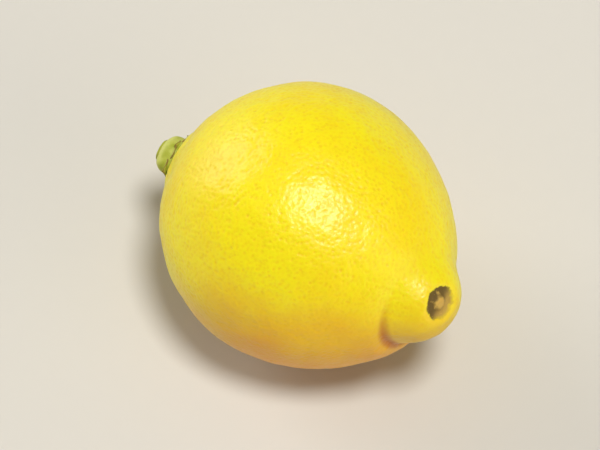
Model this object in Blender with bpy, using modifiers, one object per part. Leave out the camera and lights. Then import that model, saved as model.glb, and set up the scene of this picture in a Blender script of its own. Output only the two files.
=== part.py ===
"""A lemon lying on its side: the fruit, the green calyx on its stem end and the cut stem in it.

Metres, +Z up. The long axis lies along X, with the nipple at +X and the stem end at -X. The
origin is on the surface that the lemon rests on, below the middle of its length and width.
"""

import math

import bmesh
import bpy
from mathutils import Matrix, Quaternion, Vector

# The fruit's body. The half lengths run along the long axis from its widest section.
FRUIT_RADIUS = 0.0345
STEM_HALF_LENGTH = 0.0345
TIP_HALF_LENGTH = 0.0385
BODY_POWER = 1.92  # 2 is an ellipsoid, and less tapers more towards both ends
BELLY_FULLNESS = 0.0009  # how much further the +Y side stands out

# The neck is the broad taper that carries the nipple. Both are bumps on the body's tip end.
NECK_HEIGHT = 0.0045
NECK_RADIUS = 0.0217
NIPPLE_HEIGHT = 0.0039
NIPPLE_RADIUS = 0.0110
NIPPLE_STEEPNESS = 4.0
NIPPLE_TURN = Vector((1.0, math.tan(math.radians(-8.5)), math.tan(math.radians(13.0))))

# The furrow half way round the nipple's foot, on the side that faces FURROW_SIDE.
FURROW_DEPTH = 0.0010
FURROW_WIDTH = 0.0032
FURROW_GAP = 0.0020
FURROW_SIDE = Vector((0.0, -0.80, -0.60))

# The pit that the flower's style left in the nipple's end.
SCAR_RADIUS = 0.0043
SCAR_DEPTH = 0.0018
SCAR_RISE = 0.0042  # how far above the nipple's middle it lies
SCAR_STEEPNESS = 4.0

# The button: the calyx in its shallow seat, with the cut stem through its middle.
CALYX_RADIUS = 0.0062
CALYX_THICKNESS = 0.0047
CALYX_LOBES = 5
CALYX_LOBE_DEPTH = 0.0010
STEM_RADIUS = 0.0028
STEM_STANDS_OUT = 0.0007
STEM_TAPER = 0.0002
STEM_EDGE = 0.0003
STEM_EDGE_SEGMENTS = 2
SEAT_DEPTH = 0.0008
SEAT_WALL = 0.0030
SEAT_CLEARANCE = 0.0006
TOUCH_GAP = 0.0003

# The spot that the lemon rests on is a thin slice off its underside.
REST_FLAT_DEPTH = 0.0006

# Mesh fineness.
FRUIT_SEGMENTS = 56
FRUIT_RINGS = 44
RING_CROWDING = 0.6  # 0 spaces the rings evenly, and 1 would crowd them onto the two ends
CALYX_SEGMENTS = 60
CALYX_RING_SEGMENTS = 12
STEM_SEGMENTS = 24
CREASE_ANGLE = math.radians(40)  # edges that turn more than this are sharp

# Worked out from the sizes above.
LONG_AXIS = Vector((1.0, 0.0, 0.0))
TIP_REACH = TIP_HALF_LENGTH + NECK_HEIGHT + NIPPLE_HEIGHT
SEAT_PLACE = STEM_HALF_LENGTH - SEAT_DEPTH
SEAT_RADIUS = CALYX_RADIUS + SEAT_CLEARANCE
CALYX_BORE = STEM_RADIUS + TOUCH_GAP
STEM_LENGTH = CALYX_THICKNESS + STEM_STANDS_OUT


def clear_scene():
    for old in list(bpy.data.objects):
        bpy.data.objects.remove(old)


def new_collection(name):
    collection = bpy.data.collections.new(name)
    bpy.context.scene.collection.children.link(collection)
    return collection


def new_material(name, color, roughness):
    material = bpy.data.materials.new(name)
    material.use_nodes = True
    shader = material.node_tree.nodes["Principled BSDF"]
    shader.inputs["Base Color"].default_value = (*color, 1.0)
    shader.inputs["Roughness"].default_value = roughness
    shader.inputs["Metallic"].default_value = 0.0
    material.diffuse_color = (*color, 1.0)
    return material


def new_piece(name, mesh_maker, material, collection):
    """Makes one object from the bmesh that mesh_maker returns, shaded smooth but for sharp edges."""
    shape = mesh_maker()
    mesh = bpy.data.meshes.new(name)
    shape.to_mesh(mesh)
    shape.free()
    mesh.shade_smooth()
    mesh.set_sharp_from_angle(angle=CREASE_ANGLE)
    mesh.materials.append(material)
    piece = bpy.data.objects.new(name, mesh)
    collection.objects.link(piece)
    return piece


def bump(distance, width, power):
    """1 at distance 0, and falling to 0 past the width. A higher power has steeper sides."""
    return math.exp(-(abs(distance / width) ** power))


def smooth_step(value, start, end):
    share = min(max((value - start) / (end - start), 0.0), 1.0)
    return share * share * (3.0 - 2.0 * share)


def body_distance(along, across):
    """How far the plain body's surface is from its centre, for a direction's two components."""
    half_length = TIP_HALF_LENGTH if along > 0 else STEM_HALF_LENGTH
    lengthwise = abs(along / half_length) ** BODY_POWER
    crosswise = abs(across / FRUIT_RADIUS) ** BODY_POWER
    return (lengthwise + crosswise) ** (-1.0 / BODY_POWER)


def furrow_depth(direction, from_tip):
    """The crease at the nipple's foot, deepest on its own side and gone on the other."""
    around = Vector((0.0, direction.y, direction.z))
    facing = 0.5 + 0.5 * around.normalized().dot(FURROW_SIDE.normalized())
    middle = NIPPLE_RADIUS + FURROW_WIDTH + FURROW_GAP
    return FURROW_DEPTH * facing * bump(from_tip * TIP_REACH - middle, FURROW_WIDTH, 2)


def fruit_distance(direction):
    """How far the fruit's surface is from its centre, before its tip is turned to one side."""
    from_tip = LONG_AXIS.angle(direction)
    from_stem = math.pi - from_tip
    distance = body_distance(direction.x, math.sin(from_tip))
    distance += BELLY_FULLNESS * direction.y * (1.0 - direction.x**2)
    distance += NECK_HEIGHT * bump(from_tip * TIP_REACH, NECK_RADIUS, 2)
    distance += NIPPLE_HEIGHT * bump(from_tip * TIP_REACH, NIPPLE_RADIUS, NIPPLE_STEEPNESS)
    if direction.x > 0:
        distance -= furrow_depth(direction, from_tip)
        from_scar = direction.angle(Vector((TIP_REACH, 0.0, SCAR_RISE)))
        distance -= SCAR_DEPTH * bump(from_scar * TIP_REACH, SCAR_RADIUS, SCAR_STEEPNESS)
        return distance
    seat_edge = math.atan(SEAT_RADIUS / SEAT_PLACE)
    wall_top = math.atan((SEAT_RADIUS + SEAT_WALL) / SEAT_PLACE)
    if from_stem >= wall_top:
        return distance
    seat = SEAT_PLACE / math.cos(from_stem)
    return seat + (distance - seat) * smooth_step(from_stem, seat_edge, wall_top)


def turned(direction):
    """Turns a direction with the nipple's own turn at the tip, and less and less towards the middle."""
    if direction.x <= 0:
        return direction
    full_turn = LONG_AXIS.rotation_difference(NIPPLE_TURN)
    return Quaternion().slerp(full_turn, direction.x**2) @ direction


def crowded(direction):
    """Moves a direction towards the nearer end of the long axis, so that the rings crowd there."""
    from_tip = LONG_AXIS.angle(direction)
    moved = from_tip - 0.5 * RING_CROWDING * math.sin(2.0 * from_tip)
    around = Vector((0.0, direction.y, direction.z)).normalized()
    return LONG_AXIS * math.cos(moved) + around * math.sin(moved)


def fruit_shape():
    """A sphere with its poles on the long axis, each point moved out to the fruit's surface."""
    shape = bmesh.new()
    bmesh.ops.create_uvsphere(
        shape,
        u_segments=FRUIT_SEGMENTS,
        v_segments=FRUIT_RINGS,
        radius=1.0,
        matrix=Matrix.Rotation(math.radians(90), 4, "Y"),
    )
    for point in shape.verts:
        direction = crowded(point.co.normalized())
        point.co = turned(direction) * fruit_distance(direction)
    return shape


def calyx_edge(around):
    """The calyx's radius: five broad round lobes with a notch between each two."""
    notch = 1.0 - abs(math.cos(0.5 * CALYX_LOBES * around))
    return CALYX_RADIUS - CALYX_LOBE_DEPTH * notch


def calyx_shape():
    """A flattened ring, standing on Z = 0 with its axis up, drawn out into lobes at its edge."""
    middle = 0.5 * (CALYX_RADIUS + CALYX_BORE)
    thick = 0.5 * (CALYX_RADIUS - CALYX_BORE)
    shape = bmesh.new()
    profile = []
    for step in range(CALYX_RING_SEGMENTS):
        angle = 2.0 * math.pi * step / CALYX_RING_SEGMENTS
        place = (middle + thick * math.cos(angle), 0.0, thick * math.sin(angle))
        profile.append(shape.verts.new(place))
    for step, point in enumerate(profile):
        shape.edges.new((point, profile[(step + 1) % CALYX_RING_SEGMENTS]))
    bmesh.ops.spin(
        shape,
        geom=shape.verts[:] + shape.edges[:],
        cent=(0.0, 0.0, 0.0),
        axis=(0.0, 0.0, 1.0),
        angle=2.0 * math.pi,
        steps=CALYX_SEGMENTS,
        use_merge=True,
    )
    for point in shape.verts:
        around = math.atan2(point.co.y, point.co.x)
        outward = (math.hypot(point.co.x, point.co.y) - CALYX_BORE) / (2.0 * thick)
        radius = CALYX_BORE + outward * (calyx_edge(around) - CALYX_BORE)
        height = CALYX_THICKNESS * (0.5 + 0.5 * point.co.z / thick)
        point.co = (radius * math.cos(around), radius * math.sin(around), height)
    bmesh.ops.recalc_face_normals(shape, faces=shape.faces[:])
    return shape


def stem_shape():
    """The stem's stump, standing on Z = 0 with its cut end up."""
    shape = bmesh.new()
    bmesh.ops.create_cone(
        shape,
        cap_ends=True,
        segments=STEM_SEGMENTS,
        radius1=STEM_RADIUS,
        radius2=STEM_RADIUS - STEM_TAPER,
        depth=STEM_LENGTH,
        matrix=Matrix.Translation((0.0, 0.0, 0.5 * STEM_LENGTH)),
    )
    return shape


def soften_stem(stem):
    bevel = stem.modifiers.new("soft_edges", "BEVEL")
    bevel.width = STEM_EDGE
    bevel.segments = STEM_EDGE_SEGMENTS
    bevel.limit_method = "ANGLE"
    bevel.angle_limit = CREASE_ANGLE


def seat_on_stem_end(piece, centre):
    """Stands a piece on the fruit's seat, with its own +Z pointing out along -X."""
    piece.parent = centre
    piece.location = (-SEAT_PLACE - TOUCH_GAP, 0.0, 0.0)
    piece.rotation_euler = (0.0, math.radians(-90), 0.0)


def stand_on_origin(centre, pieces):
    """Moves the lemon so that the origin is below its middle, with the rest flat still below Z = 0."""
    bpy.context.view_layer.update()
    points = [piece.matrix_world @ point.co for piece in pieces for point in piece.data.vertices]
    low = Vector(min(point[axis] for point in points) for axis in range(3))
    high = Vector(max(point[axis] for point in points) for axis in range(3))
    middle = 0.5 * (low + high)
    centre.location = (-middle.x, -middle.y, -low.z - REST_FLAT_DEPTH)


def cut_rest_flat(fruit, cutters):
    """Cuts off what is left of the fruit below Z = 0."""
    size = 4.0 * FRUIT_RADIUS
    bpy.ops.mesh.primitive_cube_add(size=size, location=(0.0, 0.0, -0.5 * size))
    cutter = bpy.context.active_object
    cutter.name = "rest_flat_cutter"
    for owner in list(cutter.users_collection):
        owner.objects.unlink(cutter)
    cutters.objects.link(cutter)
    cutter.hide_render = True
    cutter.display_type = "WIRE"
    cut = fruit.modifiers.new("rest_flat", "BOOLEAN")
    cut.operation = "DIFFERENCE"
    cut.solver = "EXACT"
    cut.object = cutter


def main():
    clear_scene()
    parts = new_collection("lemon")
    cutters = new_collection("cutters")
    centre = bpy.data.objects.new("lemon_centre", None)
    parts.objects.link(centre)

    rind = new_material("rind", (0.84, 0.66, 0.012), 0.38)
    green = new_material("calyx_green", (0.30, 0.33, 0.035), 0.55)
    wood = new_material("stem_wood", (0.55, 0.42, 0.20), 0.8)

    fruit = new_piece("fruit", fruit_shape, rind, parts)
    calyx = new_piece("calyx", calyx_shape, green, parts)
    stem = new_piece("stem_stub", stem_shape, wood, parts)
    soften_stem(stem)

    fruit.parent = centre
    seat_on_stem_end(calyx, centre)
    seat_on_stem_end(stem, centre)
    stand_on_origin(centre, (fruit, calyx, stem))
    cut_rest_flat(fruit, cutters)


main()
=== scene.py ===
"""One whole lemon lying on its side: its rind, its green calyx and the cut stump of its stem.

The frame is loaded first. Each piece is made where the frame says, in metres, with +X towards the
nipple and +Z up. The sidebar panel in the 3D view lists one operator for each piece and one for
the stage.
"""

import math

import bpy
from bpy.props import (
    FloatProperty,
    FloatVectorProperty,
    IntProperty,
    PointerProperty,
)
from mathutils import Euler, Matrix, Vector


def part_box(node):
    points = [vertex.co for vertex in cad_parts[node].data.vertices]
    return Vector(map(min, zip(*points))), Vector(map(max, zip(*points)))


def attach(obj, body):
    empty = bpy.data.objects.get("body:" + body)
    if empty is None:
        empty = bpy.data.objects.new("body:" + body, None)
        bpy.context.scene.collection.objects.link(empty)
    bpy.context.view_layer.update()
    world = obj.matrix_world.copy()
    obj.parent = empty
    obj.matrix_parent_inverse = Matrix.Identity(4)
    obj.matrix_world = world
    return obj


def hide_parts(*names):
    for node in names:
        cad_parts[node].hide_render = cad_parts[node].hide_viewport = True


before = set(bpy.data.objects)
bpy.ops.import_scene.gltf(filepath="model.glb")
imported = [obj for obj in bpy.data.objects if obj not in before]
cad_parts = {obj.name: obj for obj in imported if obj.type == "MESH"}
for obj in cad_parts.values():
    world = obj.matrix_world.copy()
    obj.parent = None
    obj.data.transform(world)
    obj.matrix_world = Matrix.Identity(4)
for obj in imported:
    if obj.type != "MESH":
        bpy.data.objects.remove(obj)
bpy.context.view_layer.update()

bl_info = {
    "name": "Lemon",
    "version": (1, 0, 0),
    "blender": (4, 5, 0),
    "location": "View3D > Sidebar > Lemon",
    "description": "Makes a whole lemon, its calyx, its stem stub and a stage to show it on",
    "category": "Add Mesh",
}

ROOT_BODY = "root"
MERGE_DISTANCE = 1.0e-6

# Where the lemon's own centre lies, from the calyx's and the stem's places in the frame.
SEAT_TO_CENTRE = 0.0337
TOUCH_GAP = 0.0003
CALYX_LOW, CALYX_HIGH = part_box("calyx")
STEM_LOW, STEM_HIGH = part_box("stem_stub")
CENTRE = (
    CALYX_HIGH.x + SEAT_TO_CENTRE + TOUCH_GAP,
    0.5 * (STEM_LOW.y + STEM_HIGH.y),
    0.5 * (STEM_LOW.z + STEM_HIGH.z),
)
CALYX_THICKNESS = CALYX_HIGH.x - CALYX_LOW.x
STEM_LENGTH = STEM_HIGH.x - STEM_LOW.x


# ---------------------------------------------------------------------------------------------
# Node building
# ---------------------------------------------------------------------------------------------


class Value:
    """A node's output, which can be used in sums. Numbers use Math nodes, vectors Vector Math."""

    def __init__(self, sheet, socket):
        self.sheet = sheet
        self.socket = socket

    def beside(self, name):
        """Another output of the same node."""
        return Value(self.sheet, self.socket.node.outputs[name])

    def __add__(self, other):
        return self.sheet.math("ADD", self, other)

    def __radd__(self, other):
        return self.sheet.math("ADD", other, self)

    def __sub__(self, other):
        return self.sheet.math("SUBTRACT", self, other)

    def __rsub__(self, other):
        return self.sheet.math("SUBTRACT", other, self)

    def __mul__(self, other):
        return self.sheet.math("MULTIPLY", self, other)

    def __rmul__(self, other):
        return self.sheet.math("MULTIPLY", other, self)

    def __truediv__(self, other):
        return self.sheet.math("DIVIDE", self, other)

    def __rtruediv__(self, other):
        return self.sheet.math("DIVIDE", other, self)

    def __pow__(self, other):
        return self.sheet.math("POWER", self, other)

    def __neg__(self):
        return self.sheet.math("MULTIPLY", self, -1.0)

    def __abs__(self):
        return self.sheet.math("ABSOLUTE", self)


class Sheet:
    """A node tree and the one way in which nodes are added to it."""

    def __init__(self, tree):
        self.tree = tree
        self.inputs = None

    def add(self, kind, settings=None, inputs=None, output=None):
        """Adds a node: its settings first, then its inputs by name or place. Returns one output."""
        node = self.tree.nodes.new(kind)
        for name, setting in (settings or {}).items():
            setattr(node, name, setting)
        shown = [socket for socket in node.inputs if socket.enabled]
        for key, given in (inputs or {}).items():
            if isinstance(key, int):
                socket = shown[key]
            else:
                socket = next(socket for socket in shown if socket.name == key)
            self.fill(socket, given)
        if output:
            return Value(self, node.outputs[output])
        made = [socket for socket in node.outputs if socket.enabled]
        return Value(self, made[0]) if made else node

    def fill(self, socket, given):
        """Links a value to an input, or sets it."""
        if isinstance(given, Value):
            self.tree.links.new(given.socket, socket)
        elif socket.type == "RGBA" and len(given) == 3:
            socket.default_value = (*given, 1.0)
        elif socket.type in {"VECTOR", "ROTATION"} and isinstance(given, (int, float)):
            socket.default_value = (given, given, given)
        else:
            socket.default_value = given

    def math(self, operation, *values):
        """A Math node, or a Vector Math node if one of the values is a vector."""
        vectors = [v for v in values if isinstance(v, Value) and v.socket.type == "VECTOR"]
        kind = "ShaderNodeVectorMath" if vectors else "ShaderNodeMath"
        return self.add(kind, {"operation": operation}, dict(enumerate(values)))

    def given(self, name):
        """The tree's own input of this name."""
        if self.inputs is None:
            self.inputs = self.tree.nodes.new("NodeGroupInput")
        return Value(self, self.inputs.outputs[name])

    def split(self, vector):
        """A vector's three components."""
        parts = self.add("ShaderNodeSeparateXYZ", inputs={"Vector": vector})
        return parts, parts.beside("Y"), parts.beside("Z")

    def join(self, x, y, z):
        """A vector made of three components."""
        return self.add("ShaderNodeCombineXYZ", inputs={"X": x, "Y": y, "Z": z})

    def at_least(self, value, low):
        return self.math("MAXIMUM", value, low)

    def at_most(self, value, high):
        return self.math("MINIMUM", value, high)

    def root(self, value):
        return self.math("SQRT", value)

    def unit(self, vector):
        """The vector drawn out or in to a length of 1."""
        return self.math("NORMALIZE", vector)

    def dot(self, first, second):
        """How far one vector reaches along another."""
        return self.add(
            "ShaderNodeVectorMath",
            {"operation": "DOT_PRODUCT"},
            {0: first, 1: second},
            output="Value",
        )

    def noise(self, place, size, detail=2.0, roughness=0.5, distortion=0.0):
        """Smooth noise from 0 to 1, whose lumps are about as big as size."""
        return self.add(
            "ShaderNodeTexNoise",
            inputs={
                "Vector": place,
                "Scale": 1.0 / size,
                "Detail": detail,
                "Roughness": roughness,
                "Distortion": distortion,
            },
        )

    def cells(self, place, size):
        """The distance from the middle of the nearest of many scattered cells."""
        return self.add(
            "ShaderNodeTexVoronoi",
            {"feature": "F1"},
            {"Vector": place, "Scale": 1.0 / size},
            output="Distance",
        )

    def fade(self, value, start, end, low=0.0, high=1.0):
        """Low up to start, high from end on, and smooth between."""
        return self.add(
            "ShaderNodeMapRange",
            {"interpolation_type": "SMOOTHSTEP", "clamp": True},
            {"Value": value, "From Min": start, "From Max": end, "To Min": low, "To Max": high},
        )

    def bump(self, distance, width, power=2.0):
        """1 at distance 0, and falling to 0 past the width. A higher power has steeper sides."""
        return self.math("EXPONENT", -(abs(distance / width) ** power))

    def mixed(self, factor, first, second):
        """Two colours mixed."""
        return self.add(
            "ShaderNodeMix",
            {"data_type": "RGBA", "clamp_factor": True},
            {0: factor, 1: first, 2: second},
        )


class GeometrySheet(Sheet):
    """A Geometry Nodes tree."""

    def index(self):
        return self.add("GeometryNodeInputIndex")

    def position(self):
        return self.add("GeometryNodeInputPosition")

    def keep(self, geometry, name, value, kind="FLOAT"):
        """Stores a value on the geometry's points under a name."""
        return self.add(
            "GeometryNodeStoreNamedAttribute",
            {"data_type": kind, "domain": "POINT"},
            {"Geometry": geometry, "Name": name, "Value": value},
        )

    def kept(self, name, kind="FLOAT"):
        """Reads a stored value back."""
        return self.add("GeometryNodeInputNamedAttribute", {"data_type": kind}, {"Name": name})

    def moved(self, geometry, position=None, offset=None):
        """The geometry with its points put at a position, or moved by an offset."""
        inputs = {"Geometry": geometry}
        if position is not None:
            inputs["Position"] = position
        if offset is not None:
            inputs["Offset"] = offset
        return self.add("GeometryNodeSetPosition", inputs=inputs)

    def merged(self, geometry):
        """The geometry with the points that meet at its seams and poles made one."""
        return self.add(
            "GeometryNodeMergeByDistance",
            inputs={"Geometry": geometry, "Distance": MERGE_DISTANCE},
        )

    def random(self, low, high, number, seed):
        """A random number for each number given."""
        return self.add(
            "FunctionNodeRandomValue",
            {"data_type": "FLOAT"},
            {"Min": low, "Max": high, "ID": number, "Seed": seed},
        )

    def stem_frame(self, geometry):
        """Turns geometry that stands on Z = 0 so that it stands on the seat, facing -X."""
        centre = self.given("Centre")
        seat = self.given("Seat to centre") + TOUCH_GAP
        return self.add(
            "GeometryNodeTransform",
            inputs={
                "Geometry": geometry,
                "Translation": centre - self.join(seat, 0.0, 0.0),
                "Rotation": (0.0, -0.5 * math.pi, 0.0),
            },
        )

    def finish(self, geometry, material):
        """Ends the tree: real geometry, shaded smooth, with its material."""
        real = self.add("GeometryNodeRealizeInstances", inputs={"Geometry": geometry})
        smooth = self.add("GeometryNodeSetShadeSmooth", inputs={"Geometry": real})
        coloured = self.add(
            "GeometryNodeSetMaterial", inputs={"Geometry": smooth, "Material": material}
        )
        end = self.tree.nodes.new("NodeGroupOutput")
        self.tree.links.new(coloured.socket, end.inputs[0])


def socket_kind(prop):
    """The tree input that suits a property, or None for a colour."""
    if prop.type == "INT":
        return "NodeSocketInt"
    if prop.type == "FLOAT" and not prop.is_array:
        return "NodeSocketFloat"
    if prop.type == "FLOAT" and prop.subtype == "TRANSLATION":
        return "NodeSocketVector"
    return None


def grow_mesh(name, settings, build, material):
    """Runs a Geometry Nodes tree, whose inputs are the settings, and returns its plain mesh object."""
    tree = bpy.data.node_groups.new(name, "GeometryNodeTree")
    sizes = {}
    for prop in settings.bl_rna.properties:
        kind = socket_kind(prop)
        if kind and prop.identifier != "name":
            socket = tree.interface.new_socket(name=prop.name, in_out="INPUT", socket_type=kind)
            sizes[socket.identifier] = getattr(settings, prop.identifier)
    tree.interface.new_socket(name="Geometry", in_out="OUTPUT", socket_type="NodeSocketGeometry")
    build(GeometrySheet(tree), material)

    piece = bpy.data.objects.new(name, bpy.data.meshes.new(name))
    bpy.context.scene.collection.objects.link(piece)
    modifier = piece.modifiers.new(name, "NODES")
    modifier.node_group = tree
    for identifier, size in sizes.items():
        modifier[identifier] = size if isinstance(size, (int, float)) else tuple(size)
    evaluated = piece.evaluated_get(bpy.context.evaluated_depsgraph_get())
    mesh = bpy.data.meshes.new_from_object(evaluated)
    if not mesh.polygons:
        raise RuntimeError(f"the nodes of {name} made no faces")
    piece.modifiers.remove(modifier)
    mesh.name = name
    piece.data = mesh
    return piece


def put_in_frame(piece, node):
    """Makes a finished piece stand for its node in the frame."""
    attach(piece, ROOT_BODY)
    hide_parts(node)


def new_material(name, view_colour):
    """A material with an empty sheet."""
    material = bpy.data.materials.new(name)
    material.use_nodes = True
    material.node_tree.nodes.clear()
    material.diffuse_color = (*view_colour, 1.0)
    return material, Sheet(material.node_tree)


def show(sheet, inputs):
    """Ends a material with its Principled shader."""
    shader = sheet.add("ShaderNodeBsdfPrincipled", inputs=inputs)
    sheet.add("ShaderNodeOutputMaterial", inputs={"Surface": shader})


# ---------------------------------------------------------------------------------------------
# Settings
# ---------------------------------------------------------------------------------------------


def length(name, description, default):
    return FloatProperty(
        name=name, description=description, default=default, precision=5, unit="LENGTH"
    )


def number(name, description, default):
    return FloatProperty(name=name, description=description, default=default, precision=3)


def angle(name, description, degrees):
    return FloatProperty(
        name=name, description=description, default=math.radians(degrees), subtype="ANGLE"
    )


def colour(name, description, default):
    return FloatVectorProperty(
        name=name, description=description, default=default, subtype="COLOR", min=0.0, max=1.0
    )


def centre_place():
    return FloatVectorProperty(
        name="Centre",
        description="Where the fruit's own centre lies",
        default=CENTRE,
        precision=5,
        subtype="TRANSLATION",
        unit="LENGTH",
    )


def seat_place():
    return length(
        "Seat to centre", "From the fruit's centre to the seat of its calyx", SEAT_TO_CENTRE
    )


class FruitSettings(bpy.types.PropertyGroup):
    """Sizes and colours of the fruit."""

    centre: centre_place()
    seat_to_centre: seat_place()
    radius: length("Radius", "Half the fruit's width", 0.0345)
    stem_half: length("Stem half", "From the widest section to the stem end", 0.0345)
    tip_half: length("Tip half", "From the widest section to the tip, without the neck", 0.0385)
    taper: number("Taper", "2 is an ellipsoid, and less tapers more to both ends", 1.92)
    belly: length("Belly", "How much further one side stands out", 0.0009)
    neck_height: length("Neck height", "How far the broad neck draws out the tip", 0.0045)
    neck_radius: length("Neck radius", "How wide the neck is", 0.0217)
    nipple_height: length("Nipple height", "How far the nipple stands out from the neck", 0.0039)
    nipple_radius: length("Nipple radius", "How wide the nipple is", 0.0110)
    furrow_depth: length("Furrow depth", "Depth of the crease at the nipple's foot", 0.0010)
    furrow_width: length("Furrow width", "Width of the crease at the nipple's foot", 0.0032)
    crease_depth: length("Crease depth", "Depth of the sharp crease in the furrow", 0.00045)
    furrow_place: length("Furrow place", "From the nipple's end to the crease", 0.0162)
    scar_radius: length("Scar radius", "Radius of the pit that the style left", 0.0043)
    scar_depth: length("Scar depth", "Depth of the pit that the style left", 0.0018)
    scar_rise: length("Scar rise", "How far the pit lies above the nipple's middle", 0.0042)
    scar_knob: length("Scar knob", "Height of the dry stump in the pit", 0.0009)
    scar_knob_radius: length("Scar knob radius", "Radius of the dry stump in the pit", 0.0022)
    seat_radius: length("Seat radius", "Radius of the flat that the calyx sits on", 0.0068)
    seat_wall: length("Seat wall", "Width of the slope round that flat", 0.0030)
    pucker_depth: length("Pucker depth", "Depth of the creases that run to the calyx", 0.00060)
    lump_depth: length("Lump depth", "How uneven the whole rind is", 0.00045)
    dimple_depth: length("Dimple depth", "Depth of the soft dimples between the glands", 0.00007)
    pit_spacing: length("Pit spacing", "Least distance between two oil glands", 0.00100)
    pit_small: length("Smallest pit", "Radius of the smallest oil gland's pit", 0.00042)
    pit_large: length("Largest pit", "Radius of the largest oil gland's pit", 0.00080)
    pit_depth: length("Pit depth", "Depth of the deepest pit", 0.00017)
    seed: IntProperty(name="Seed", description="Which scatter of oil glands", default=7)
    yellow: colour("Yellow", "The rind's main colour", (0.885, 0.768, 0.003))
    deep_yellow: colour("Deep yellow", "The rind's riper patches", (0.87, 0.64, 0.002))
    # Painted shade: the warm orange that the rind's lower side is painted with, as it looks in shade.
    painted_shade_amber: colour("Amber", "The ripest side, which faces down", (0.78, 0.30, 0.001))
    # Partly the oil glands' own deeper tone, partly painted shade inside their pits.
    gland_tone_and_pit_shade: colour("Gland", "Inside the oil glands' pits", (0.78, 0.48, 0.002))
    green_tinge: colour("Green tinge", "The last green near both ends", (0.62, 0.62, 0.020))
    # Painted shade: the dark orange-brown shade in the crease at the nipple's foot.
    furrow_painted_shade: colour("Furrow", "In the crease at the nipple's foot", (0.50, 0.145, 0.001))
    # Partly the scar's dried brown, partly painted shade on the inner wall of its pit.
    scar_brown: colour("Scar brown", "The dried ring in the scar", (0.085, 0.048, 0.004))
    scar_tan: colour("Scar tan", "The dry middle of the scar", (0.56, 0.36, 0.07))
    scuff_tan: colour("Scuff tan", "The faint scuffs", (0.50, 0.33, 0.07))


class CalyxSettings(bpy.types.PropertyGroup):
    """Sizes and colours of the calyx."""

    centre: centre_place()
    seat_to_centre: seat_place()
    radius: length("Radius", "From the stem's axis to a sepal's tip", 0.00612)
    sepal_width: length("Sepal half width", "Half the width of a sepal at its foot", 0.0029)
    sepal_thick: length("Sepal thickness", "Thickness of a sepal at its foot", 0.0011)
    collar_height: length("Collar height", "Height of the swollen collar round the stem", 0.0046)
    collar_bore: length("Collar bore", "Radius of the hole that the stem fills", 0.00266)
    collar_radius: length("Collar radius", "Outer radius of the collar", 0.0050)
    green: colour("Green", "The sepals' main colour", (0.33, 0.37, 0.020))
    # Partly the collar's own paler green, partly a painted highlight on the top of the calyx.
    pale_green: colour("Pale green", "The collar and the sepals' ridges", (0.60, 0.62, 0.14))
    edge_brown: colour("Edge brown", "The sepals' dry edges", (0.20, 0.10, 0.020))


class StemSettings(bpy.types.PropertyGroup):
    """Sizes and colours of the stem stub."""

    centre: centre_place()
    seat_to_centre: seat_place()
    radius: length("Radius", "Radius of the stub", 0.00276)
    stub_length: length("Length", "From the seat to the cut", STEM_LENGTH)
    ridge_depth: length("Ridge depth", "Depth of the bark's lengthwise ridges", 0.00012)
    bark: colour("Bark", "The stub's side", (0.36, 0.38, 0.035))
    bark_brown: colour("Bark brown", "The bark's dry patches", (0.20, 0.13, 0.03))
    cut_wood: colour("Cut wood", "The pale cut face", (0.60, 0.53, 0.25))
    pith: colour("Pith", "The darker middle of the cut", (0.33, 0.25, 0.085))
    crack_brown: colour("Crack brown", "In the cut's cracks", (0.10, 0.06, 0.02))


class StageSettings(bpy.types.PropertyGroup):
    """The floor, the light and the camera."""

    camera_azimuth: angle("Camera azimuth", "How far round from the front the camera is", 31.4)
    camera_height: angle("Camera elevation", "How far above level the camera looks from", 63.0)
    camera_distance: length("Camera distance", "From the fruit's centre to the camera", 1.323)
    view_width: length("View width", "How much the picture's width takes in", 0.144)
    floor_size: length("Floor size", "Side of the square floor", 30.0)
    key_spread: angle("Key width", "How wide the key light looks from the fruit", 14.0)
    key_tint: colour("Key tint", "The key light's colour", (1.0, 0.985, 0.955))
    key_strength: number("Key light", "The main light, overhead", 2.52)
    side_spread: angle("Side width", "How wide the side light looks from the fruit", 37.0)
    side_tint: colour("Side tint", "The side light's colour", (1.0, 0.99, 0.97))
    side_strength: number("Side light", "The softer light at the left", 1.25)
    front_spread: angle("Front width", "How wide the front light looks from the fruit", 49.0)
    front_tint: colour("Front tint", "The front light's colour", (1.0, 0.90, 0.76))
    front_strength: number("Front light", "The warm fill at the right", 0.72)
    sky_strength: number("Sky light", "The even pale light from above", 0.20)
    wall_strength: number("Wall light", "The paler light from low down, all round", 0.76)
    sky_tint: colour("Sky tint", "The colour of the sky light", (1.0, 0.953, 0.852))
    floor_colour: colour("Floor", "The floor's colour", (0.64, 0.62, 0.575))


# ---------------------------------------------------------------------------------------------
# The fruit
# ---------------------------------------------------------------------------------------------

FRUIT_POINTS = 129  # along each side of the cube that the fruit grows from
NIPPLE_TURN = (math.tan(math.radians(-8.5)), math.tan(math.radians(13.0)))
FURROW_SIDE = Vector((0.0, -0.80, -0.60)).normalized()
NIPPLE_STEEPNESS = 4.0
SCAR_STEEPNESS = 4.0
CREASE_WIDTH = 0.0012
CRUMB_DEPTH = 0.00035  # how rough the dry bottom of the scar is
PUCKER_PLACE = 0.0100  # from the stem end to the middle of the creases that run to the calyx
PUCKER_WIDTH = 0.0052
FOOT_WIDTH = 0.0075  # how far the fine creases reach from the nipple's furrow
FOOT_SHARE = 0.45  # how deep they are, next to those at the stem end
LUMP_SIZE = 0.019
SMALL_LUMP_SIZE = 0.0075
DIMPLE_SIZE = 0.0034
MOST_GLANDS = 4.0e6  # oil glands to a square metre, before those too close are left out
PAINTED_SHADE_WAY = Vector((0.40, -0.76, -0.51))  # painted shade: the rind is painted warm orange towards the side that faces this way
SCAR_LIT_WAY = Vector((0.0, 0.36, -0.93))  # the lower side of the scar's pit, whose wall faces up into the light: the dark ring, partly painted shade, is broken there
DOWN = Vector((0.0, 0.0, -1.0))


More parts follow.
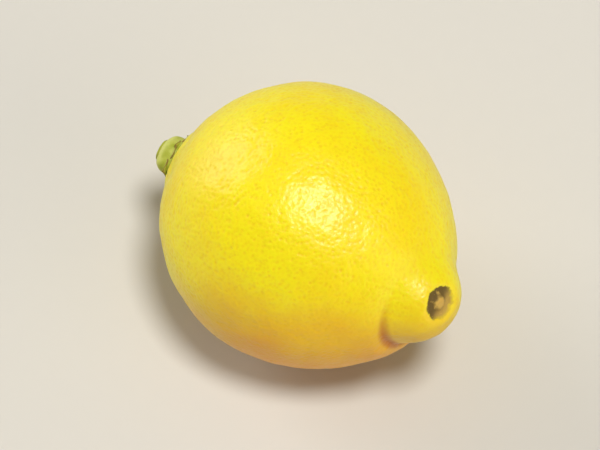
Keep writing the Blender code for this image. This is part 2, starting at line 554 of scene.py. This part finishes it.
def fruit_surface(sheet, ball):
    """How far out the surface lies in each direction, and the places that its colours need."""
    given = sheet.given
    x, y, z = sheet.split(ball)
    across = sheet.root(sheet.at_least(1.0 - x * x, 0.0))
    tip_reach = given("Tip half") + given("Neck height") + given("Nipple height")
    tip_angle = sheet.math("ARCCOSINE", x)
    stem_angle = math.pi - tip_angle
    from_tip = tip_angle * tip_reach
    from_stem = stem_angle * given("Seat to centre")
    around = sheet.unit(sheet.join(0.0, y, z))

    tip_side = sheet.math("GREATER_THAN", x, 0.0)
    half = given("Stem half") + (given("Tip half") - given("Stem half")) * tip_side
    taper = given("Taper")
    plain = abs(x / half) ** taper + abs(across / given("Radius")) ** taper
    distance = plain ** (-1.0 / taper)
    distance += given("Belly") * y * (1.0 - x * x)
    distance += given("Neck height") * sheet.bump(from_tip, given("Neck radius"))
    distance += given("Nipple height") * sheet.bump(
        from_tip, given("Nipple radius"), NIPPLE_STEEPNESS
    )

    facing = 0.5 + 0.5 * sheet.dot(around, FURROW_SIDE)
    furrow = facing * sheet.bump(from_tip - given("Furrow place"), given("Furrow width"))
    crease = sheet.bump(from_tip - given("Furrow place"), CREASE_WIDTH)
    distance -= given("Furrow depth") * furrow
    distance -= given("Crease depth") * facing * facing * crease

    scar_way = sheet.unit(sheet.join(tip_reach, 0.0, given("Scar rise")))
    from_scar = sheet.math("ARCCOSINE", sheet.dot(ball, scar_way)) * tip_reach
    scar_side = sheet.dot(ball - scar_way, SCAR_LIT_WAY) * tip_reach
    ragged = sheet.noise(ball, 0.045, detail=3.0)
    scar_radius = given("Scar radius") * (0.86 + 0.26 * ragged)
    scar = sheet.bump(from_scar, scar_radius, SCAR_STEEPNESS)
    distance -= given("Scar depth") * scar
    crumbs = sheet.noise(ball, 0.030, detail=3.0, roughness=0.6)
    knob_radius = given("Scar knob radius") * (0.6 + 0.8 * ragged)
    knob = sheet.bump(from_scar, knob_radius, SCAR_STEEPNESS)
    distance += given("Scar knob") * knob * (0.5 + crumbs)
    distance -= CRUMB_DEPTH * scar * sheet.fade(crumbs, 0.35, 0.65)

    # The creases that run to the calyx and, finer, round the nipple's foot.
    streaks = sheet.noise(around + ball * 0.3, 0.42, detail=1.6)
    shoulder = sheet.bump(from_stem - PUCKER_PLACE, PUCKER_WIDTH)
    distance -= given("Pucker depth") * shoulder * sheet.fade(streaks, 0.68, 0.32)
    foot = sheet.bump(from_tip - given("Furrow place"), FOOT_WIDTH)
    distance -= FOOT_SHARE * given("Pucker depth") * foot * sheet.fade(streaks, 0.60, 0.40)

    seat_start = sheet.math("ARCTANGENT", given("Seat radius") / given("Seat to centre"))
    wall_end = given("Seat radius") + given("Seat wall")
    seat_end = sheet.math("ARCTANGENT", wall_end / given("Seat to centre"))
    seat = given("Seat to centre") / sheet.at_least(-x, 0.5)
    seat_share = sheet.fade(stem_angle, seat_start, seat_end)
    distance = seat + (distance - seat) * seat_share

    # The whole rind is a little uneven. All of it goes inwards.
    calm = sheet.fade(from_stem, 0.0068, 0.0110) * sheet.fade(from_scar, 0.0040, 0.0070)
    rough_place = ball * distance
    lumps = sheet.noise(rough_place, LUMP_SIZE, detail=1.0)
    lumps += 0.35 * sheet.noise(rough_place + 0.31, SMALL_LUMP_SIZE, detail=1.0)
    distance -= given("Lump depth") * calm * sheet.fade(lumps, 0.35, 1.0)
    dimples = sheet.noise(rough_place, DIMPLE_SIZE, detail=0.5)
    distance -= given("Dimple depth") * calm * sheet.fade(dimples, 0.62, 0.36)
    return distance, {
        "from_tip": from_tip,
        "from_stem": from_stem,
        "from_scar": from_scar,
        "scar_side": scar_side,
        "furrow": furrow,
    }


def turn_tip(sheet, ball, place):
    """Bends the tip to its own side, by the full turn at its end and less towards the middle."""
    x, _, _ = sheet.split(ball)
    forward = sheet.at_least(x, 0.0)
    side, up = NIPPLE_TURN
    return sheet.add(
        "ShaderNodeVectorRotate",
        {"rotation_type": "AXIS_ANGLE"},
        {
            "Vector": place,
            "Center": (0.0, 0.0, 0.0),
            "Axis": (0.0, -up, side),
            "Angle": math.atan(math.hypot(side, up)) * forward * forward,
        },
    )


def oil_glands(sheet, rind):
    """Presses an oil gland's pit into the rind at each of many scattered points."""
    given = sheet.given
    glands = sheet.add(
        "GeometryNodeDistributePointsOnFaces",
        {"distribute_method": "POISSON"},
        {
            "Mesh": rind,
            "Distance Min": given("Pit spacing"),
            "Density Max": MOST_GLANDS,
            "Seed": given("Seed"),
        },
    )
    nearest = sheet.add(
        "GeometryNodeProximity", {"target_element": "POINTS"}, {"Geometry": glands},
        output="Distance",
    )
    which = sheet.add("GeometryNodeSampleNearest", {"domain": "POINT"}, {"Geometry": glands})
    spread = sheet.random(0.0, 1.0, which, 3) ** 1.6
    radius = given("Smallest pit") + (given("Largest pit") - given("Smallest pit")) * spread
    hollow = sheet.at_least(1.0 - (nearest / radius) ** 2.0, 0.0)
    calm = sheet.fade(sheet.kept("from_scar"), 0.0036, 0.0052)
    calm = calm * sheet.fade(sheet.kept("from_stem"), 0.0060, 0.0074)
    pit = hollow * hollow * (0.45 + 0.55 * spread) * calm
    stored = sheet.keep(rind, "pit", pit)
    normal = sheet.add("GeometryNodeInputNormal")
    return sheet.moved(stored, offset=normal * (-given("Pit depth") * sheet.kept("pit")))


def fruit_nodes(sheet, material):
    """A cube rounded to a ball, each point of it moved out to the surface, then pitted all over."""
    cube = sheet.add(
        "GeometryNodeMeshCube",
        inputs={
            "Size": (2.0, 2.0, 2.0),
            "Vertices X": FRUIT_POINTS,
            "Vertices Y": FRUIT_POINTS,
            "Vertices Z": FRUIT_POINTS,
        },
        output="Mesh",
    )
    even = sheet.math("TANGENT", sheet.position() * (0.25 * math.pi))
    ball = sheet.unit(even)
    distance, places = fruit_surface(sheet, ball)
    rind = sheet.keep(cube, "surface", turn_tip(sheet, ball, ball * distance), "FLOAT_VECTOR")
    for name, value in places.items():
        rind = sheet.keep(rind, name, value)
    surface = sheet.kept("surface", "FLOAT_VECTOR")
    rind = sheet.moved(rind, position=surface + sheet.given("Centre"))
    rind = oil_glands(sheet, rind)
    x, y, z = sheet.split(sheet.position())
    rind = sheet.moved(rind, position=sheet.join(x, y, sheet.at_least(z, 0.0)))
    rind = sheet.add(
        "GeometryNodeRemoveAttribute", inputs={"Geometry": rind, "Name": "surface"}
    )
    sheet.finish(rind, material)


def attribute(sheet, name):
    return sheet.add(
        "ShaderNodeAttribute",
        {"attribute_type": "GEOMETRY", "attribute_name": name},
        output="Fac",
    )


def rind_material(settings):
    """Waxy yellow rind: two yellows, painted warm shade low down and by the furrow, glands deeper in
    tone with painted shade in their pits, green ends, a brown scar with painted shade on one side of
    its pit.
    """
    material, sheet = new_material("lemon_rind", settings.yellow)
    place = sheet.add("ShaderNodeTexCoord", output="Object")
    pit = attribute(sheet, "pit")
    from_scar = attribute(sheet, "from_scar")
    from_stem = attribute(sheet, "from_stem")
    from_tip = attribute(sheet, "from_tip")
    furrow = attribute(sheet, "furrow")

    broad = sheet.noise(place, 0.022, detail=2.0)
    fine = sheet.noise(place, 0.0035, detail=3.0, roughness=0.6)
    ripeness = 0.65 * sheet.fade(broad * 0.75 + fine * 0.25, 0.38, 0.66)
    colours = sheet.mixed(ripeness, settings.yellow, settings.deep_yellow)
    from_centre = place - Vector(CENTRE)
    # Painted shade: the rind turns warm orange towards the low front side and towards the bottom, as
    # it looks in shade. The broad noise breaks up the edge.
    patchy = (broad - 0.5) * 0.016
    painted_shade_side = 0.84 * sheet.fade(sheet.dot(from_centre, PAINTED_SHADE_WAY) + patchy, 0.009, 0.035)
    painted_shade_below = 0.52 * sheet.fade(sheet.dot(from_centre, DOWN) + patchy, -0.004, 0.036)
    colours = sheet.mixed(painted_shade_side, colours, settings.painted_shade_amber)
    colours = sheet.mixed(painted_shade_below, colours, settings.painted_shade_amber)
    # Painted shade: a band of warm orange on the body next to the nipple's furrow, on the furrow's
    # side, as it looks in shade.
    around = sheet.unit(sheet.math("MULTIPLY", from_centre, (0.0, 1.0, 1.0)))
    foot = sheet.bump(from_tip - 0.0220, 0.0075) * sheet.fade(sheet.dot(around, FURROW_SIDE), 0.1, 1.0)
    colours = sheet.mixed(foot * 0.55, colours, settings.painted_shade_amber)

    green = sheet.bump(from_tip - 0.008, 0.013) * 0.22
    green = green + sheet.bump(from_stem, 0.0135) * 0.55
    green = green * sheet.fade(broad, 0.25, 0.62)
    colours = sheet.mixed(green, colours, settings.green_tinge)

    cells = sheet.cells(place, 0.00115)
    small_cells = sheet.cells(place, 0.00052)
    # The glands' deeper tone, darkest at their middles, which is also painted shade in the pits, both
    # the mesh's pits and the bump's dimples.
    speckle = sheet.fade(cells, 0.42, 0.12) * 0.25
    colours = sheet.mixed(pit * 0.42 + speckle, colours, settings.gland_tone_and_pit_shade)
    # Painted shade in the crease of the nipple's furrow.
    colours = sheet.mixed(sheet.fade(furrow, 0.50, 1.00) * 0.92, colours, settings.furrow_painted_shade)

    # The scar: a ragged brown ring round a dry tan middle. The ring is partly the scar's dried brown
    # and partly painted shade on the shaded wall of its pit, so it is broken on the lit side.
    ragged = sheet.noise(place, 0.0016, detail=4.0, roughness=0.65)
    reach = from_scar + (ragged - 0.5) * 0.0020
    ring = sheet.fade(reach, 0.0046, 0.0041) * sheet.fade(reach, 0.0010, 0.0022)
    middle = sheet.fade(reach, 0.0044, 0.0034)
    lit_side = sheet.fade(attribute(sheet, "scar_side"), -0.0006, 0.0026)
    broken = 1.0 - 0.75 * lit_side
    ring = ring * broken * sheet.fade(ragged, 0.22, 0.46)
    colours = sheet.mixed(middle, colours, settings.scar_tan)
    colours = sheet.mixed(ring * 0.92, colours, settings.scar_brown)

    # A few faint scuffs.
    scuff_place = sheet.math("MULTIPLY", place, (1.0, 2.2, 1.6))
    scuffs = sheet.noise(scuff_place, 0.0095, detail=5.0, roughness=0.72, distortion=0.6)
    scuffs = sheet.fade(scuffs, 0.685, 0.745) * 0.35
    colours = sheet.mixed(scuffs, colours, settings.scuff_tan)

    dry = sheet.at_least(ring, middle)
    roughness = 0.31 + 0.10 * fine + 0.10 * pit + 0.35 * dry + 0.12 * scuffs

    grain = sheet.noise(place, 0.00022, detail=2.0, roughness=0.6)
    height = sheet.fade(cells, 0.10, 0.62) + 0.30 * sheet.fade(small_cells, 0.10, 0.65)
    height = height + grain * 0.12 - dry * ragged * 3.0
    normal = sheet.add(
        "ShaderNodeBump", inputs={"Strength": 0.7, "Distance": 0.00006, "Height": height}
    )
    show(
        sheet,
        {
            "Base Color": colours,
            "Roughness": roughness,
            "Normal": normal,
            "IOR": 1.45,
            "Specular IOR Level": 0.62,
            "Specular Tint": (1.0, 0.97, 0.88),
            "Subsurface Weight": 0.25,
            "Subsurface Radius": (1.0, 0.50, 0.08),
            "Subsurface Scale": 0.0025,
        },
    )
    return material


# ---------------------------------------------------------------------------------------------
# The calyx
# ---------------------------------------------------------------------------------------------

SEPALS = 5
SEPAL_START = 0.0020  # radius at which a sepal starts, inside the collar
SEPAL_POINTS = (33, 25, 3)  # along, across and through a sepal
SEPAL_LOW = 0.00078  # height of a sepal's middle layer, near its tip
SEPAL_CLIMB = 0.00195  # how much higher it lies at the collar
SEPAL_CURL = 0.00045  # how far the tip curls up
SEPAL_LEAN = 0.00028  # how far one edge stands over the next sepal
SEPAL_ARCH = 0.00022  # how far both edges droop
COLLAR_POINTS = (121, 29)  # round the collar, and round its section
RIPPLE_DEPTH = 0.00022
VEIN_DEPTH = 0.00016


def one_sepal(sheet):
    """A thick blunt leaf along +X: it slopes down from the collar, and its tip curls up again."""
    given = sheet.given
    leaf = sheet.add(
        "GeometryNodeMeshCube",
        inputs={
            "Size": (1.0, 2.0, 2.0),
            "Vertices X": SEPAL_POINTS[0],
            "Vertices Y": SEPAL_POINTS[1],
            "Vertices Z": SEPAL_POINTS[2],
        },
        output="Mesh",
    )
    x, side, layer = sheet.split(sheet.position())
    along = x + 0.5
    left = sheet.at_least(1.0 - along, 0.0)
    outline = sheet.root(sheet.at_least(1.0 - along**3.4, 0.0))
    width = given("Sepal half width") * outline
    reach = SEPAL_START + (given("Radius") - SEPAL_START) * along * (1.0 - 0.05 * side * side)
    height = SEPAL_LOW + SEPAL_CLIMB * left**1.7 + SEPAL_CURL * along**6.0 + SEPAL_LEAN * side
    height -= SEPAL_ARCH * side * side
    rim = sheet.root(sheet.at_least(1.0 - side**6.0 * 0.92, 0.0))
    rim *= sheet.root(sheet.at_least(1.0 - along**9.0 * 0.90, 0.0))
    thick = given("Sepal thickness") * (0.42 + 0.58 * left) * rim
    shaped = sheet.join(reach, side * width, height + 0.5 * layer * thick)
    edge = sheet.at_least(abs(side) ** 3.0, along**5.0)
    leaf = sheet.keep(leaf, "edge", edge)
    return sheet.moved(leaf, position=shaped)


def collar(sheet):
    """The swollen ring round the stem: a grid rolled up into a tube and round the axis."""
    given = sheet.given
    grid = sheet.add(
        "GeometryNodeMeshGrid",
        inputs={
            "Size X": 2.0 * math.pi,
            "Size Y": 2.0 * math.pi,
            "Vertices X": COLLAR_POINTS[0],
            "Vertices Y": COLLAR_POINTS[1],
        },
        output="Mesh",
    )
    around, section, _ = sheet.split(sheet.position())
    rise = 0.5 + 0.5 * sheet.math("SINE", section)
    outer_side = sheet.math("GREATER_THAN", sheet.math("COSINE", section), 0.0)
    lobes = 1.0 + 0.06 * sheet.math("COSINE", around * float(SEPALS))
    bulge = sheet.root(1.0 - rise**3.2) * (1.0 - 0.16 * (1.0 - rise) ** 3.0)
    wall = (given("Collar radius") - given("Collar bore")) * lobes
    radius = given("Collar bore") + wall * bulge * outer_side
    height = given("Collar height") * rise
    shaped = sheet.join(
        radius * sheet.math("COSINE", around), radius * sheet.math("SINE", around), height
    )
    ring = sheet.moved(grid, position=shaped)
    ring = sheet.merged(ring)
    return sheet.add("GeometryNodeFlipFaces", inputs={"Mesh": ring})


def calyx_nodes(sheet, material):
    """Five sepals set round the collar, wrinkled a little, and stood on the fruit's seat."""
    spots = sheet.add(
        "GeometryNodeMeshLine",
        inputs={"Count": SEPALS, "Offset": (0.0, 0.0, 0.0)},
    )
    turn = sheet.join(0.0, 0.0, sheet.index() * (2.0 * math.pi / SEPALS))
    sepals = sheet.add(
        "GeometryNodeInstanceOnPoints",
        inputs={"Points": spots, "Instance": one_sepal(sheet), "Rotation": turn},
    )
    sepals = sheet.add("GeometryNodeRealizeInstances", inputs={"Geometry": sepals})
    whole = sheet.add("GeometryNodeJoinGeometry", inputs={"Geometry": sepals})
    sheet.tree.links.new(collar(sheet).socket, whole.socket.node.inputs[0])
    place = sheet.position()
    ripple = sheet.noise(place, 0.0011, detail=2.0) - 0.6
    radial = sheet.unit(sheet.math("MULTIPLY", place, (1.0, 1.0, 0.0)))
    veins = sheet.noise(radial + place * 30.0, 0.14, detail=2.0) - 0.6
    normal = sheet.add("GeometryNodeInputNormal")
    whole = sheet.moved(whole, offset=normal * (ripple * RIPPLE_DEPTH + veins * VEIN_DEPTH))
    x, y, z = sheet.split(sheet.position())
    level = sheet.at_most(sheet.at_least(z, 0.0), CALYX_THICKNESS)
    whole = sheet.moved(whole, position=sheet.join(x, y, level))
    whole = sheet.keep(whole, "rise", level / CALYX_THICKNESS)
    sheet.finish(sheet.stem_frame(whole), material)


def calyx_material(settings):
    """Half-dry green sepals: paler towards the top, which is partly the collar's own paler green and
    partly a painted highlight, brown at the edges, with fine specks.
    """
    material, sheet = new_material("calyx_green", settings.green)
    place = sheet.add("ShaderNodeTexCoord", output="Object")
    edge = attribute(sheet, "edge")
    broad = sheet.noise(place, 0.0030, detail=3.0)
    fine = sheet.noise(place, 0.00045, detail=4.0, roughness=0.65)
    # Paler in random patches, and paler towards the top: partly the collar's own paler green, partly a
    # painted highlight.
    pale = 0.55 * sheet.fade(broad, 0.35, 0.65) + sheet.fade(attribute(sheet, "rise"), 0.55, 0.95)
    colours = sheet.mixed(pale, settings.green, settings.pale_green)
    brown = sheet.fade(edge + (fine - 0.5) * 0.9, 0.55, 0.95)
    colours = sheet.mixed(brown * 0.85, colours, settings.edge_brown)
    specks = sheet.fade(sheet.cells(place, 0.00055), 0.22, 0.08)
    colours = sheet.mixed(specks * 0.28, colours, settings.edge_brown)
    normal = sheet.add(
        "ShaderNodeBump", inputs={"Strength": 0.7, "Distance": 0.00008, "Height": fine}
    )
    show(
        sheet,
        {
            "Base Color": colours,
            "Roughness": 0.52 + 0.2 * brown + 0.1 * fine,
            "Normal": normal,
            "IOR": 1.45,
            "Subsurface Weight": 0.08,
            "Subsurface Radius": (0.6, 1.0, 0.2),
            "Subsurface Scale": 0.0006,
        },
    )
    return material


# ---------------------------------------------------------------------------------------------
# The stem stub
# ---------------------------------------------------------------------------------------------

STUB_POINTS = (97, 61)  # round the stub, and from its foot over its side to the cut's middle
STUB_SIDE_SHARE = 0.62  # how much of those rows lie on the side
STUB_EDGE = 0.00025  # how much the rim of the cut is rounded
FIBRE_DEPTH = 0.00010
CRACK_DEPTH = 0.00035
PITH_DEPTH = 0.00035


def stem_nodes(sheet, material):
    """A grid rolled up into the stub: ridged bark up the side, a soft rim and a cracked cut face."""
    given = sheet.given
    grid = sheet.add(
        "GeometryNodeMeshGrid",
        inputs={
            "Size X": 2.0 * math.pi,
            "Size Y": 1.0,
            "Vertices X": STUB_POINTS[0],
            "Vertices Y": STUB_POINTS[1],
        },
        output="Mesh",
    )
    around, row, _ = sheet.split(sheet.position())
    row = row + 0.5
    ring = sheet.join(sheet.math("COSINE", around), sheet.math("SINE", around), 0.0)
    side = sheet.at_most(row / STUB_SIDE_SHARE, 1.0)
    inward = sheet.at_least((row - STUB_SIDE_SHARE) / (1.0 - STUB_SIDE_SHARE), 0.0)
    ridges = sheet.noise(ring + sheet.join(0.0, 0.0, side * 0.5), 0.33, detail=3.0)
    rounding = sheet.fade(side, 0.93, 1.0)
    radius = given("Radius") - given("Ridge depth") * sheet.fade(ridges, 0.35, 0.65)
    radius = radius - 0.6 * STUB_EDGE * rounding
    radius = radius * (1.0 - inward)
    height = given("Length") * side - 0.5 * STUB_EDGE * rounding
    height = height + 0.5 * STUB_EDGE * sheet.fade(inward, 0.0, 0.18)

    flat_place = ring * (1.0 - inward)
    fibres = sheet.noise(flat_place, 0.10, detail=3.0)
    cracks = sheet.noise(ring + flat_place * 0.2, 0.30, detail=2.0, roughness=0.7)
    crack = sheet.fade(cracks, 0.43, 0.36) * sheet.fade(inward, 0.08, 0.3)
    crack = crack * sheet.fade(inward, 1.0, 0.75)
    height = height - FIBRE_DEPTH * fibres * sheet.fade(inward, 0.0, 0.1)
    height = height - CRACK_DEPTH * crack - PITH_DEPTH * sheet.fade(inward, 0.72, 0.98)
    shaped = ring * radius + sheet.join(0.0, 0.0, height)
    stub = sheet.keep(grid, "inward", inward)
    stub = sheet.keep(stub, "crack", crack)
    stub = sheet.moved(stub, position=shaped)
    sheet.finish(sheet.stem_frame(sheet.merged(stub)), material)


def stem_material(settings):
    """Green-brown bark and a pale dry cut with a dark pith, rings and cracks."""
    material, sheet = new_material("stem_wood", settings.cut_wood)
    place = sheet.add("ShaderNodeTexCoord", output="Object")
    inward = attribute(sheet, "inward")
    crack = attribute(sheet, "crack")
    fine = sheet.noise(place, 0.0004, detail=4.0, roughness=0.65)
    broad = sheet.noise(place, 0.0016, detail=2.0)
    dry_patches = 0.6 * sheet.fade(broad, 0.45, 0.7)
    bark = sheet.mixed(dry_patches, settings.bark, settings.bark_brown)
    rings = 0.5 + 0.5 * sheet.math("SINE", inward * 34.0 + broad * 5.0)
    wood = sheet.mixed(rings * 0.30, settings.cut_wood, settings.pith)
    wood = sheet.mixed(sheet.fade(inward, 0.66, 0.86), wood, settings.pith)
    wood = sheet.mixed(crack * 0.8, wood, settings.crack_brown)
    cut = sheet.fade(inward + (fine - 0.5) * 0.12, 0.02, 0.14)
    colours = sheet.mixed(cut, bark, wood)
    normal = sheet.add(
        "ShaderNodeBump", inputs={"Strength": 0.7, "Distance": 0.00008, "Height": fine}
    )
    show(
        sheet,
        {
            "Base Color": colours,
            "Roughness": 0.68 + 0.2 * fine,
            "Normal": normal,
            "Specular IOR Level": 0.35,
        },
    )
    return material


# ---------------------------------------------------------------------------------------------
# The stage
# ---------------------------------------------------------------------------------------------


LIGHT_WAYS = {  # where each light lies, with the camera's side as -Y
    "key_light": Vector((0.14, -0.18, 0.97)),
    "side_light": Vector((-0.75, 0.55, 0.35)),
    "front_light": Vector((0.80, -0.55, 0.30)),
}
MOTTLE_SHADE = 0.985
WALL_TOP = (0.01, 0.12)  # the sines of the heights at which the pale wall fades into the sky


def new_object(name, data):
    thing = bpy.data.objects.new(name, data)
    bpy.context.scene.collection.objects.link(thing)
    return thing


def look_at(thing, target):
    """Turns a light or a camera, which look along their own -Z, towards a place."""
    way = Vector(target) - thing.location
    thing.rotation_euler = way.to_track_quat("-Z", "Y").to_euler()


def add_floor(settings):
    """A wide pale floor with a faint mottle."""
    half = 0.5 * settings.floor_size
    mesh = bpy.data.meshes.new("stage_floor")
    corners = [(-half, -half, 0.0), (half, -half, 0.0), (half, half, 0.0), (-half, half, 0.0)]
    mesh.from_pydata(corners, [], [(0, 1, 2, 3)])
    material, sheet = new_material("stage_paper", settings.floor_colour)
    place = sheet.add("ShaderNodeTexCoord", output="Object")
    mottle = sheet.noise(place, 0.004, detail=3.0)
    shade = tuple(MOTTLE_SHADE * part for part in settings.floor_colour)
    show(
        sheet,
        {
            "Base Color": sheet.mixed(mottle, settings.floor_colour, shade),
            "Roughness": 1.0,
            "Specular IOR Level": 0.0,
        },
    )
    mesh.materials.append(material)
    floor = new_object("stage_floor", mesh)


def add_light(name, way, spread, strength, tint):
    """A far soft light, which lies in this direction and looks this wide from the fruit."""
    data = bpy.data.lights.new(name, "SUN")
    data.angle = spread
    data.energy = strength
    data.color = tint
    light = new_object(name, data)
    light.location = Vector(CENTRE) + Vector(way).normalized()
    look_at(light, CENTRE)


def add_camera(settings):
    """A long lens that looks down at the fruit from the side of its nipple."""
    azimuth = settings.camera_azimuth
    level = math.cos(settings.camera_height)
    back = Vector(
        (math.sin(azimuth) * level, -math.cos(azimuth) * level, math.sin(settings.camera_height))
    )
    data = bpy.data.cameras.new("camera")
    data.sensor_width = 36.0
    data.lens = data.sensor_width * settings.camera_distance / settings.view_width
    data.clip_start = 0.01
    data.clip_end = 50.0
    camera = new_object("camera", data)
    camera.location = Vector(CENTRE) + back * settings.camera_distance
    look_at(camera, CENTRE)
    bpy.context.scene.camera = camera


def add_sky(settings):
    """Even pale light, which is brighter low down, as from the walls of a pale room."""
    world = bpy.data.worlds.new("studio")
    world.use_nodes = True
    world.node_tree.nodes.clear()
    sheet = Sheet(world.node_tree)
    _, _, up = sheet.split(sheet.add("ShaderNodeTexCoord", output="Generated"))
    strength = sheet.fade(up, *WALL_TOP, settings.wall_strength, settings.sky_strength)
    pale = sheet.add(
        "ShaderNodeBackground", inputs={"Color": settings.sky_tint, "Strength": strength}
    )
    sheet.add("ShaderNodeOutputWorld", inputs={"Surface": pale})
    bpy.context.scene.world = world


# ---------------------------------------------------------------------------------------------
# Operators, panel and registration
# ---------------------------------------------------------------------------------------------


class LEMON_OT_add_fruit(bpy.types.Operator):
    """Makes the fruit: body, neck, nipple, scar and oil glands"""

    bl_idname = "lemon.add_fruit"
    bl_label = "Add Fruit"

    def execute(self, context):
        settings = context.scene.lemon_fruit
        material = rind_material(settings)
        piece = grow_mesh("lemon_rind", settings, fruit_nodes, material)
        put_in_frame(piece, "fruit")
        return {"FINISHED"}


class LEMON_OT_add_calyx(bpy.types.Operator):
    """Makes the calyx: five sepals round a collar"""

    bl_idname = "lemon.add_calyx"
    bl_label = "Add Calyx"

    def execute(self, context):
        settings = context.scene.lemon_calyx
        material = calyx_material(settings)
        piece = grow_mesh("lemon_calyx", settings, calyx_nodes, material)
        put_in_frame(piece, "calyx")
        return {"FINISHED"}


class LEMON_OT_add_stem_stub(bpy.types.Operator):
    """Makes the cut stump of the stem"""

    bl_idname = "lemon.add_stem_stub"
    bl_label = "Add Stem Stub"

    def execute(self, context):
        settings = context.scene.lemon_stem
        material = stem_material(settings)
        piece = grow_mesh("lemon_stem_stub", settings, stem_nodes, material)
        put_in_frame(piece, "stem_stub")
        return {"FINISHED"}


class LEMON_OT_add_stage(bpy.types.Operator):
    """Makes the floor, the lights, the sky and the camera"""

    bl_idname = "lemon.add_stage"
    bl_label = "Add Stage"

    def execute(self, context):
        settings = context.scene.lemon_stage
        add_floor(settings)
        turn = Euler((0.0, 0.0, settings.camera_azimuth)).to_matrix()
        for name, spread, strength, tint in (
            ("key_light", settings.key_spread, settings.key_strength, settings.key_tint),
            ("side_light", settings.side_spread, settings.side_strength, settings.side_tint),
            ("front_light", settings.front_spread, settings.front_strength, settings.front_tint),
        ):
            add_light(name, turn @ LIGHT_WAYS[name], spread, strength, tint)
        add_sky(settings)
        add_camera(settings)
        context.scene.view_settings.view_transform = "Standard"
        context.scene.view_settings.look = "None"
        return {"FINISHED"}


class LEMON_PT_sidebar(bpy.types.Panel):
    """Lists what can be made, each with its sizes and colours"""

    bl_label = "Lemon"
    bl_idname = "LEMON_PT_sidebar"
    bl_space_type = "VIEW_3D"
    bl_region_type = "UI"
    bl_category = "Lemon"

    def draw(self, context):
        for operator, name in zip(OPERATORS, SETTINGS):
            box = self.layout.box()
            box.operator(operator.bl_idname)
            settings = getattr(context.scene, name)
            for prop in settings.bl_rna.properties:
                if prop.identifier not in {"rna_type", "name"}:
                    box.prop(settings, prop.identifier)


SETTINGS = {
    "lemon_fruit": FruitSettings,
    "lemon_calyx": CalyxSettings,
    "lemon_stem": StemSettings,
    "lemon_stage": StageSettings,
}
OPERATORS = (LEMON_OT_add_fruit, LEMON_OT_add_calyx, LEMON_OT_add_stem_stub, LEMON_OT_add_stage)


def register():
    for kind in (*SETTINGS.values(), *OPERATORS, LEMON_PT_sidebar):
        bpy.utils.register_class(kind)
    for name, kind in SETTINGS.items():
        setattr(bpy.types.Scene, name, PointerProperty(type=kind))


def unregister():
    for name in SETTINGS:
        delattr(bpy.types.Scene, name)
    for kind in reversed((*SETTINGS.values(), *OPERATORS, LEMON_PT_sidebar)):
        bpy.utils.unregister_class(kind)


def main():
    register()
    bpy.ops.lemon.add_fruit()
    bpy.ops.lemon.add_calyx()
    bpy.ops.lemon.add_stem_stub()
    bpy.ops.lemon.add_stage()


if __name__ == "__main__":
    main()
